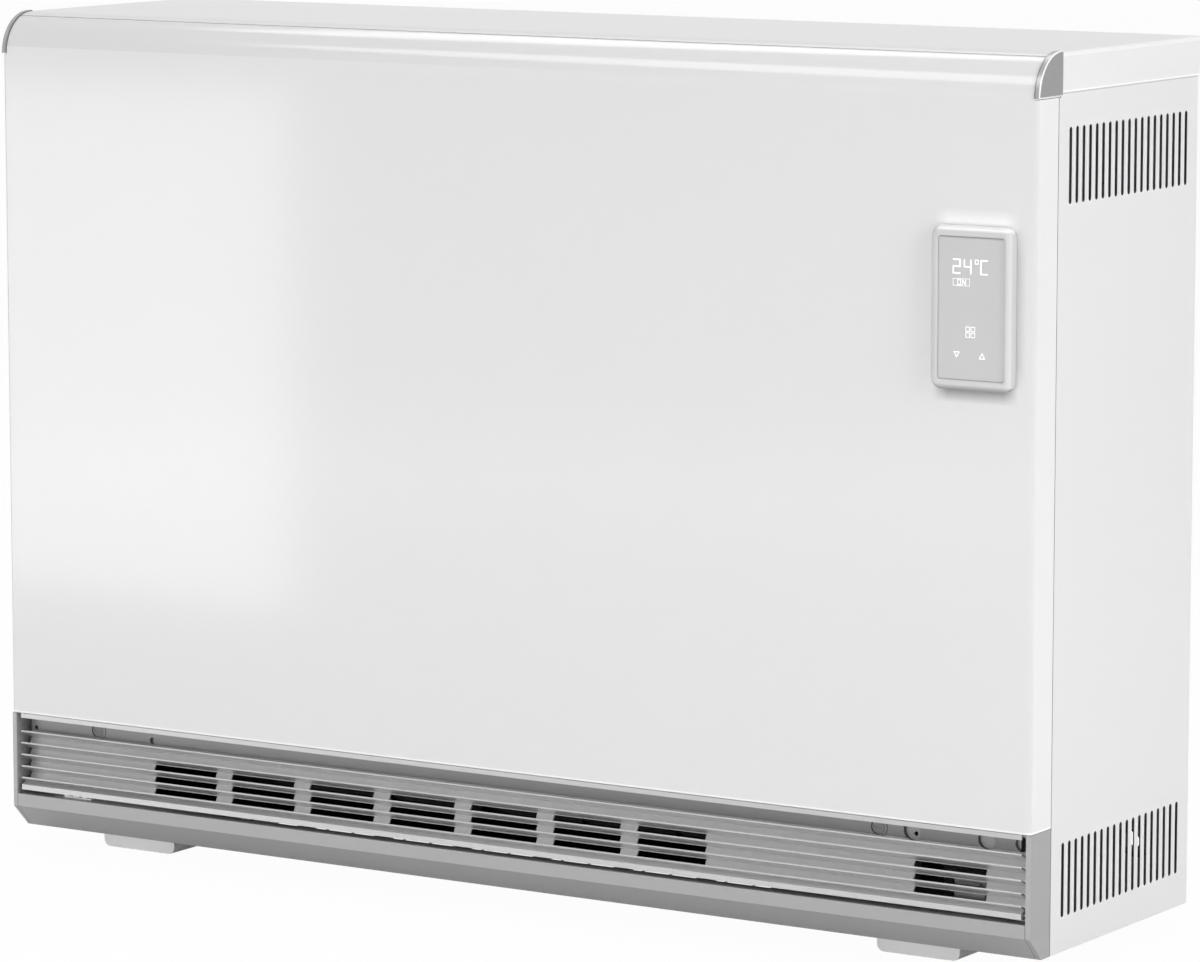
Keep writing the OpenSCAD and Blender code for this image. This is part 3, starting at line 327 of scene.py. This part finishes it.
def anodised(colour):
    """Extruded aluminium with faint lines along it; painted shade in the recess, darker downwards, and on
    the fin edges; painted light on the fin walls, more to the right, on the top strip and on the lip.
    """
    g = new_finish("silver_anodised")
    x, y, z = g.coordinates()
    top, front = GRILLE_HIGH.z, GRILLE_LOW.y
    # painted light: the fin walls lighter, more so to the right
    fin_walls_light = (z < top - RECESS_H) * g.ramp(x, 0, -350 * MM)
    # painted shade: the fins' front edges darker
    edge = y < front + 0.6 * MM
    # painted light on the strip along the top and on the lip along the bottom
    strip = (z > top - STRIP_H) * (y < front + STRIP_DEPTH)
    lip = (z < GRILLE_LOW.z + LIP_H) * (y < front + 1.5 * MM)
    # painted shade: the recess goes darker towards its bottom
    recess = (z > top - RECESS_H) * (y > front + STRIP_DEPTH)
    recess_shade_ramp = g.ramp(z, top - 7.5 * MM, top - 3.5 * MM, 0.42, 0.01)
    lines = g.noise(700, 3, (0.004, 1, 1))
    metal = g.mix(lines, tint(colour, 0.96), tint(colour, 1.04))
    metal = g.shade(metal, colour, (fin_walls_light, 1.27), (edge, 0.86), (strip, 1.20), (lip, 1.30))
    return g.finish(
        Base_Color=g.mix(recess * recess_shade_ramp, metal, grey(0)),
        Metallic=0.55,
        Roughness=0.30 + lines * 0.14,
        Normal=g.soft_edges(0.3 * MM),
    )


def bezel_plastic(colour):
    """White gloss with a well rounded rim, a painted highlight along its top and painted shade on its outer
    flank, left rim and bottom.
    """
    g = new_finish("white_gloss")
    x, y, z = g.coordinates()
    # painted highlight on the top; painted shade on the right outer flank, the left rim and the bottom
    top = g.ramp(z, BEZEL_HIGH.z - 2 * MM, BEZEL_HIGH.z - 4 * MM)
    flank = (x > BEZEL_HIGH.x - 0.9 * MM) * (y > BEZEL_LOW.y + 2 * MM)
    left = g.ramp(x, BEZEL_LOW.x + 4 * MM, BEZEL_LOW.x + 7 * MM) * 0.5
    bottom = g.ramp(z, BEZEL_LOW.z + 1 * MM, BEZEL_LOW.z + 4.5 * MM)
    return g.finish(
        Base_Color=g.shade((*colour, 1), colour, (top, 1.50), (flank, 0.85), (left, 0.84), (bottom, 0.45)),
        Roughness=0.25,
        Coat_Weight=0.3,
        Normal=g.soft_edges(2.2 * MM),
    )


def touch_glass(colour):
    """Back-painted glass, shaded by the rim along its top and left edges."""
    g = new_finish("grey_glass")
    x, _, z = g.coordinates()
    top = g.ramp(z, GLASS_HIGH.z, GLASS_HIGH.z - 1.4 * MM)
    left = g.ramp(x, GLASS_LOW.x, GLASS_LOW.x + 1.2 * MM)
    tone = g.shade((*colour, 1), colour, (top, 0.55), (left, 0.75))
    return g.finish(Base_Color=tone, Roughness=0.12, Coat_Weight=0.5)


def white_plastic(colour):
    """Feet and clip; the plastic inside the casing is painted very dark grey as shade."""
    g = new_finish("white_plastic")
    _, y, z = g.coordinates()
    # painted shade: plastic inside the casing goes very dark grey
    inner = (z > SLOPE_TOP) * (y > PANEL_LOW.y + 30 * MM)
    return g.finish(Base_Color=g.mix(inner, (*colour, 1), grey(0.12)), Roughness=0.5, Normal=g.mould_grain())


def zinc_sheet(colour):
    """Zinc-coated sheet with its faint crystal pattern, painted very dark as shade round the blowers and the
    air duct.
    """
    g = new_finish("zinc_sheet")
    _, y, z = g.coordinates()
    # painted shade: the sheet round the blowers and the duct goes very dark
    blower_duct_shade = (y < GRILLE_LOW.y + BLOWER_DEPTH) * band(z, GRILLE_LOW.z - 4 * MM, RAIL_LOW.z)
    crystals = g.add("ShaderNodeTexVoronoi", None, output="Color", Vector=g.place(), Scale=90)
    tone = g.add("ShaderNodeSeparateColor", None, crystals)
    return g.finish(
        Base_Color=g.mix(blower_duct_shade, g.mix(tone, tint(colour, 0.94), tint(colour, 1.04)), grey(0.03)),
        Metallic=0.8,
        Roughness=0.36 + tone * 0.12,
    )


def brick(colour):
    g = new_finish("iron_oxide_brick")
    grain = g.noise(260, 4)
    return g.finish(
        Base_Color=g.mix(grain, tint(colour, 0.75), tint(colour, 1.35)),
        Roughness=0.86,
        Normal=g.bump(grain, 0.35, 0.6 * MM),
    )


def fibre_board(colour):
    g = new_finish("insulation_board")
    grain = g.noise(320, 4, (1, 1, 0.25))
    return g.finish(
        Base_Color=g.mix(grain, tint(colour, 0.88), tint(colour, 1.06)),
        Roughness=0.92,
        Normal=g.bump(grain, 0.3, 0.5 * MM),
    )


def moulded(name, colour, rough):
    """Moulded plastic or rubber."""
    g = new_finish(name)
    return g.finish(Base_Color=(*colour, 1), Roughness=rough, Normal=g.mould_grain())


def plain(name, colour, rough, coat=0):
    return new_finish(name).finish(Base_Color=(*colour, 1), Roughness=rough, Coat_Weight=coat)


def turned_metal(name, colour, rough):
    g = new_finish(name)
    marks = g.noise(1400, 2, (1, 1, 0.1))
    return g.finish(Base_Color=(*colour, 1), Metallic=0.95, Roughness=rough + marks * 0.12)


def lit_figure(colour):
    return new_finish("lit_figure").finish(
        Base_Color=(*colour, 1), Roughness=0.4, Emission_Color=(*colour, 1), Emission_Strength=0.25
    )


# ---------- figures on the touch glass, in mm off its lower left corner ----------

# left, right, bottom and top of each figure
TWO = (11.7, 18.2, 75.7, 86.5)
FOUR = (20.7, 27.0, 75.7, 86.4)
DEGREE = (29.6, 32.6, 83.1, 86.5)
UNIT = (34.1, 40.3, 75.7, 86.5)
STATUS_FRAME = (11.9, 25.7, 67.1, 72.5)
STATUS_O = (15.6, 18.6, 67.7, 71.8)
STATUS_N = (19.5, 22.5, 67.7, 71.8)

# lower left cell of the menu key: its place, its size and the step to the next
MENU_X, MENU_Z = 22.6, 30.3
MENU_W, MENU_H = 3.5, 3.7
MENU_STEP_X, MENU_STEP_Z = 4.2, 4.3

# corners of the two arrow keys
DOWN = [(13.3, 19.7), (17.6, 19.7), (15.4, 16.1)]
UP = [(33.9, 15.8), (38.3, 15.8), (36.1, 19.6)]

SMALL_STROKE = 0.6  # width of the strokes of the degree sign and the status letters
MENU_STROKE = 0.5
ARROW_STROKE = 0.65
FRAME_STROKE = 0.35
FRAME_INSET = 0.2  # from the frame's outside to the middle of its stroke
ROUNDING = 0.42  # radius of a stroke's ends, as a share of its width


def inset(place, by):
    left, right, bottom, top = place
    return left + by, right - by, bottom + by, top - by


def path(points):
    """Strokes from each point to the next."""
    return list(zip(points, points[1:]))


def ring(points):
    """Strokes from each point to the next, and back to the first."""
    return path(points + points[:1])


def rectangle(place, by):
    """Strokes along a rectangle, drawn in from its outside."""
    left, right, bottom, top = inset(place, by)
    return ring([(left, bottom), (right, bottom), (right, top), (left, top)])


# ---------- modelling helpers ----------


def deselect():
    if bpy.context.object and bpy.context.object.mode != "OBJECT":
        bpy.ops.object.mode_set(mode="OBJECT")
    bpy.ops.object.select_all(action="DESELECT")


def settle(piece):
    """Puts the piece's place and turn into its mesh."""
    deselect()
    piece.select_set(True)
    bpy.context.view_layer.objects.active = piece
    bpy.ops.object.transform_apply(location=True, rotation=True, scale=True)


def join(pieces, name):
    deselect()
    for piece in pieces:
        piece.select_set(True)
    bpy.context.view_layer.objects.active = pieces[0]
    bpy.ops.object.join()
    pieces[0].name = name
    return pieces[0]


def dress(piece, material, body):
    piece.data.materials.clear()
    piece.data.materials.append(material)
    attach(piece, body)


def bar(a, b, width, relief):
    """A flat bar with rounded ends on the touch glass, from a to b."""
    corner = Vector((GLASS_LOW.x, GLASS_LOW.z))
    a, b = corner + Vector(a) * MM, corner + Vector(b) * MM
    width *= MM
    deselect()
    bpy.ops.mesh.primitive_plane_add(size=1, location=(0, 0, 0))
    piece = bpy.context.object
    bpy.ops.object.mode_set(mode="EDIT")
    bpy.ops.transform.resize(value=((b - a).length + width, width, 1))
    bpy.ops.mesh.bevel(offset=width * ROUNDING, segments=3, affect="VERTICES")
    bpy.ops.mesh.extrude_region_move(TRANSFORM_OT_translate={"value": (0, 0, relief)})
    bpy.ops.mesh.select_all(action="SELECT")
    bpy.ops.mesh.normals_make_consistent(inside=False)
    bpy.ops.object.mode_set(mode="OBJECT")
    middle = (a + b) / 2
    piece.rotation_euler = (radians(90), -atan2(b.y - a.y, b.x - a.x), 0)
    piece.location = (middle.x, GLASS_LOW.y, middle.y)
    settle(piece)
    return piece


# ---------- studio ----------

CAMERA_PLACE = (2.3723, -3.6914, 0.9373)
CAMERA_DIP = 8.016  # degrees below level
CAMERA_TURN = 32.509  # degrees to the left of straight ahead
SENSOR_W = 36  # width of the camera's sensor in mm

# lamps that don't show as reflections: name, size, watts, place and what they point at
FILLS = (
    ("side_lamp", (2.0, 2.0), 71, (3.6, -0.7, 1.5), (0.46, 0, 0.35)),
    ("overhead", (2.5, 2.0), 38, (0, 0.8, 3.6), (0, 0, 0.3)),
    ("left_lamp", (2.0, 1.5), 29, (-3.2, -0.3, 2.6), (0, 0, 0.5)),
    ("low_lamp", (2.4, 0.5), 13, (-0.7, -2.5, 0.3), (0, -0.1, 0.15)),
    ("low_right", (1.6, 0.4), 8, (1.4, -2.2, 0.2), (0.3, -0.1, 0.06)),
    ("floor_box", (2.4, 0.8), 7, (-1.6, -2.6, 0.45), (-0.2, -0.1, 0.2)),
)

# cards that only show as reflections: name, shape, size, watts, place and what they point at
CARDS = (
    ("glow_card", "RECTANGLE", (0.56, 0.50), 2.4, (-1.06, -0.95, 0.30), (-1.06, 0, 0.30)),
    ("top_card", "ELLIPSE", (2.4, 0.75), 14.5, (-0.81, 0.86, 2.615), (0.14, -0.04, 0.605)),
    ("nose_card", "ELLIPSE", (3.0, 0.95), 25, (-0.45, -2.1, 2.38), (0.65, -0.1, 0.66)),
)

FLOOR_SIZE = 120
FLOOR_GLOW = 0.97  # share of pure white in the floor that the camera sees


def set_camera(scene, lens):
    camera = bpy.data.objects.new("camera", bpy.data.cameras.new("camera"))
    scene.collection.objects.link(camera)
    camera.data.sensor_fit = "HORIZONTAL"
    camera.data.sensor_width = SENSOR_W
    camera.data.lens = lens
    camera.location = CAMERA_PLACE
    camera.rotation_euler = (radians(90 - CAMERA_DIP), 0, radians(CAMERA_TURN))
    scene.camera = camera


def area_lamp(scene, name, shape, size, power, place, target):
    """An area lamp at place that points at target and that the camera doesn't see."""
    light = bpy.data.lights.new(name, "AREA")
    light.shape = shape
    light.size, light.size_y = size
    light.energy = power
    holder = bpy.data.objects.new(name, light)
    scene.collection.objects.link(holder)
    holder.location = place
    holder.rotation_euler = (Vector(target) - holder.location).to_track_quat("-Z", "Y").to_euler()
    holder.visible_camera = False
    return holder


def set_lamps(scene, fill, cards):
    for name, size, power, place, target in FILLS:
        lamp = area_lamp(scene, name, "RECTANGLE", size, power * fill, place, target)
        lamp.visible_glossy = False
    for name, shape, size, power, place, target in CARDS:
        lamp = area_lamp(scene, name, shape, size, power * cards, place, target)
        lamp.visible_diffuse = False


def set_world(scene, ambient):
    """White where it is seen or reflected, and dimmer where it lights the heater."""
    scene.world = bpy.data.worlds.new("studio")
    g = Graph(scene.world, "Background")
    seen = 0
    for ray in ("Is Camera Ray", "Is Glossy Ray", "Is Transmission Ray"):
        kind = g.add("ShaderNodeLightPath", output=ray)
        seen = g.add("ShaderNodeMath", {"operation": "MAXIMUM"}, seen, kind)
    g.finish(Color=grey(1), Strength=g.ramp(seen, 0, 1, ambient, 1))


def set_floor():
    """A pale floor that takes shadows and that the camera sees nearly white."""
    deselect()
    bpy.ops.mesh.primitive_plane_add(size=FLOOR_SIZE, location=(0, 0, 0))
    floor = bpy.context.object
    floor.name = "floor"
    g = new_finish("pale_floor")
    floor.data.materials.append(g.finish(Base_Color=grey(0.93), Roughness=0.9, Specular_IOR_Level=0))
    share = g.add("ShaderNodeLightPath", output="Is Camera Ray") * FLOOR_GLOW
    paint = Wire(g, g.shader.outputs["BSDF"])
    glow = g.add("ShaderNodeEmission")
    blend = g.add("ShaderNodeMixShader", None, share, paint, glow)
    g.plug(g.tree.nodes["Material Output"].inputs["Surface"], blend)


# ---------- settings ----------


def colour_setting(name, description, default):
    return bpy.props.FloatVectorProperty(
        name=name, description=description, subtype="COLOR", size=3, min=0, max=1, default=default
    )


def distance_setting(name, description, default, low, high):
    return bpy.props.FloatProperty(
        name=name, description=description, subtype="DISTANCE", min=low, max=high, default=default
    )


class HeaterColours(bpy.types.PropertyGroup):
    enamel: colour_setting("Enamel", "Casing sheets", (0.80, 0.80, 0.80))
    silver: colour_setting("Silver", "End caps", (0.37, 0.37, 0.37))
    grey: colour_setting("Grey", "Cheeks and bottom rail", (0.435, 0.435, 0.435))
    grille: colour_setting("Grille", "Outlet grille", (0.50, 0.50, 0.50))
    bezel: colour_setting("Bezel", "Frame of the touch glass", (0.66, 0.66, 0.66))
    glass: colour_setting("Glass", "Touch glass", (0.63, 0.63, 0.63))
    figures: colour_setting("Figures", "Lit figures on the touch glass", (1.0, 1.0, 1.0))
    feet: colour_setting("Feet", "Feet and the clip on the rail", (0.93, 0.93, 0.93))


class HeaterFigures(bpy.types.PropertyGroup):
    stroke: distance_setting("Stroke", "Width of the digits' strokes", 1.05 * MM, 0.6 * MM, 2 * MM)
    relief: distance_setting("Relief", "Height of the figures on the glass", 0.06 * MM, 0.02 * MM, 0.2 * MM)


class HeaterStage(bpy.types.PropertyGroup):
    lens: bpy.props.FloatProperty(
        name="Lens", description="Focal length in millimetres", default=171.96, min=20, max=400
    )
    ambient: bpy.props.FloatProperty(
        name="Ambient", description="Light from all around", default=0.3, min=0, max=2
    )
    fill: bpy.props.FloatProperty(
        name="Fill", description="Strength of the large soft lamps", default=1, min=0, max=5
    )
    cards: bpy.props.FloatProperty(
        name="Cards", description="Strength of the cards that are only reflected", default=1, min=0, max=5
    )


# ---------- operators ----------


class HEATER_OT_finishes(bpy.types.Operator):
    """Gives every node of the heater its finish"""

    bl_idname = "heater.finishes"
    bl_label = "Finishes"

    def execute(self, context):
        c = context.scene.heater_colours
        finishes = {
            "white_enamel": enamel(c.enamel),
            "vented_enamel": vented_enamel(c.enamel),
            "silver_paint": cap_paint(c.silver),
            "grey_paint": plinth_paint(c.grey),
            "zinc_sheet": zinc_sheet((0.42, 0.42, 0.42)),
            "white_plastic": white_plastic(c.feet),
            "bright_steel": turned_metal("bright_steel", (0.30, 0.30, 0.30), 0.28),
            "grey_rubber": moulded("grey_rubber", (0.03, 0.03, 0.03), 0.7),
            "silver_anodised": anodised(c.grille),
            "grey_plastic": moulded("grey_plastic", (0.24, 0.24, 0.24), 0.45),
            "white_gloss": bezel_plastic(c.bezel),
            "grey_glass": touch_glass(c.glass),
            "dark_plastic": moulded("dark_plastic", (0.02, 0.02, 0.022), 0.5),
            "green_board": plain("green_board", (0.02, 0.12, 0.05), 0.35),
            "insulation_board": fibre_board((0.48, 0.45, 0.37)),
            "iron_oxide_brick": brick((0.055, 0.03, 0.022)),
            "element_steel": turned_metal("element_steel", (0.09, 0.085, 0.08), 0.45),
            "ceramic": plain("ceramic", (0.72, 0.69, 0.62), 0.25, coat=0.3),
            "flap_aluminium": turned_metal("flap_aluminium", (0.05, 0.05, 0.05), 0.4),
            "brass_bush": turned_metal("brass_bush", (0.58, 0.40, 0.14), 0.30),
            "motor_steel": turned_metal("motor_steel", (0.17, 0.17, 0.18), 0.45),
            "red_plastic": plain("red_plastic", (0.45, 0.02, 0.015), 0.3, coat=0.2),
        }
        for part in frame["record"]["subparts"]:
            node = NODES[part["node"]]
            node.data.materials.clear()
            node.data.materials.append(finishes[part["material_slot"]])
        return {"FINISHED"}


class HEATER_OT_figures(bpy.types.Operator):
    """Makes the lit figures on the touch glass"""

    bl_idname = "heater.figures"
    bl_label = "Touch glass figures"

    def execute(self, context):
        settings = context.scene.heater_figures
        material = lit_figure(context.scene.heater_colours.figures)
        stroke = settings.stroke / MM

        def figure(name, strokes, width):
            pieces = [bar(a, b, width, settings.relief) for a, b in strokes]
            dress(join(pieces, name), material, "casing")

        left, right, bottom, top = inset(TWO, stroke / 2)
        waist = (bottom + top) / 2
        zigzag = [(left, top), (right, top), (right, waist), (left, waist), (left, bottom), (right, bottom)]
        figure("figure_two", path(zigzag), stroke)
        left, right, bottom, top = inset(FOUR, stroke / 2)
        waist = (bottom + top) / 2
        hook = path([(left, top), (left, waist), (right, waist)])
        figure("figure_four", hook + path([(right, top), (right, bottom)]), stroke)
        left, right, bottom, top = inset(UNIT, stroke / 2)
        figure("figure_unit", path([(right, top), (left, top), (left, bottom), (right, bottom)]), stroke)
        figure("figure_degree", rectangle(DEGREE, SMALL_STROKE / 2), SMALL_STROKE)

        figure("status_frame", rectangle(STATUS_FRAME, FRAME_INSET), FRAME_STROKE)
        figure("status_o", rectangle(STATUS_O, SMALL_STROKE / 2), SMALL_STROKE)
        left, right, bottom, top = inset(STATUS_N, SMALL_STROKE / 2)
        figure("status_n", path([(left, bottom), (left, top), (right, bottom), (right, top)]), SMALL_STROKE)

        cells = []
        for x in (MENU_X, MENU_X + MENU_STEP_X):
            for z in (MENU_Z, MENU_Z + MENU_STEP_Z):
                cells += rectangle((x, x + MENU_W, z, z + MENU_H), MENU_STROKE / 2)
        figure("menu_key", cells, MENU_STROKE)
        figure("down_key", ring(DOWN), ARROW_STROKE)
        figure("up_key", ring(UP), ARROW_STROKE)
        return {"FINISHED"}


class HEATER_OT_stage(bpy.types.Operator):
    """Sets up the camera, the lamps, the world and the floor"""

    bl_idname = "heater.stage"
    bl_label = "Camera and studio"

    def execute(self, context):
        settings = context.scene.heater_stage
        set_camera(context.scene, settings.lens)
        set_lamps(context.scene, settings.fill, settings.cards)
        set_world(context.scene, settings.ambient)
        set_floor()
        context.scene.view_settings.view_transform = "Standard"
        return {"FINISHED"}


class HEATER_PT_panel(bpy.types.Panel):
    bl_idname = "HEATER_PT_panel"
    bl_label = "Storage heater"
    bl_space_type = "VIEW_3D"
    bl_region_type = "UI"
    bl_category = "Heater"

    def draw(self, context):
        for group in GROUPS:
            settings = getattr(context.scene, group)
            for name in settings.__annotations__:
                self.layout.prop(settings, name)
        for operator in OPERATORS:
            self.layout.operator(operator.bl_idname)


OPERATORS = (HEATER_OT_stage, HEATER_OT_finishes, HEATER_OT_figures)
GROUPS = {"heater_colours": HeaterColours, "heater_figures": HeaterFigures, "heater_stage": HeaterStage}
CLASSES = (*GROUPS.values(), *OPERATORS, HEATER_PT_panel)


def register():
    for cls in CLASSES:
        bpy.utils.register_class(cls)
    for name, group in GROUPS.items():
        setattr(bpy.types.Scene, name, bpy.props.PointerProperty(type=group))


def unregister():
    for name in GROUPS:
        delattr(bpy.types.Scene, name)
    for cls in reversed(CLASSES):
        bpy.utils.unregister_class(cls)


def main():
    register()
    for operator in OPERATORS:
        group, name = operator.bl_idname.split(".")
        getattr(getattr(bpy.ops, group), name)()


if __name__ == "__main__":
    main()
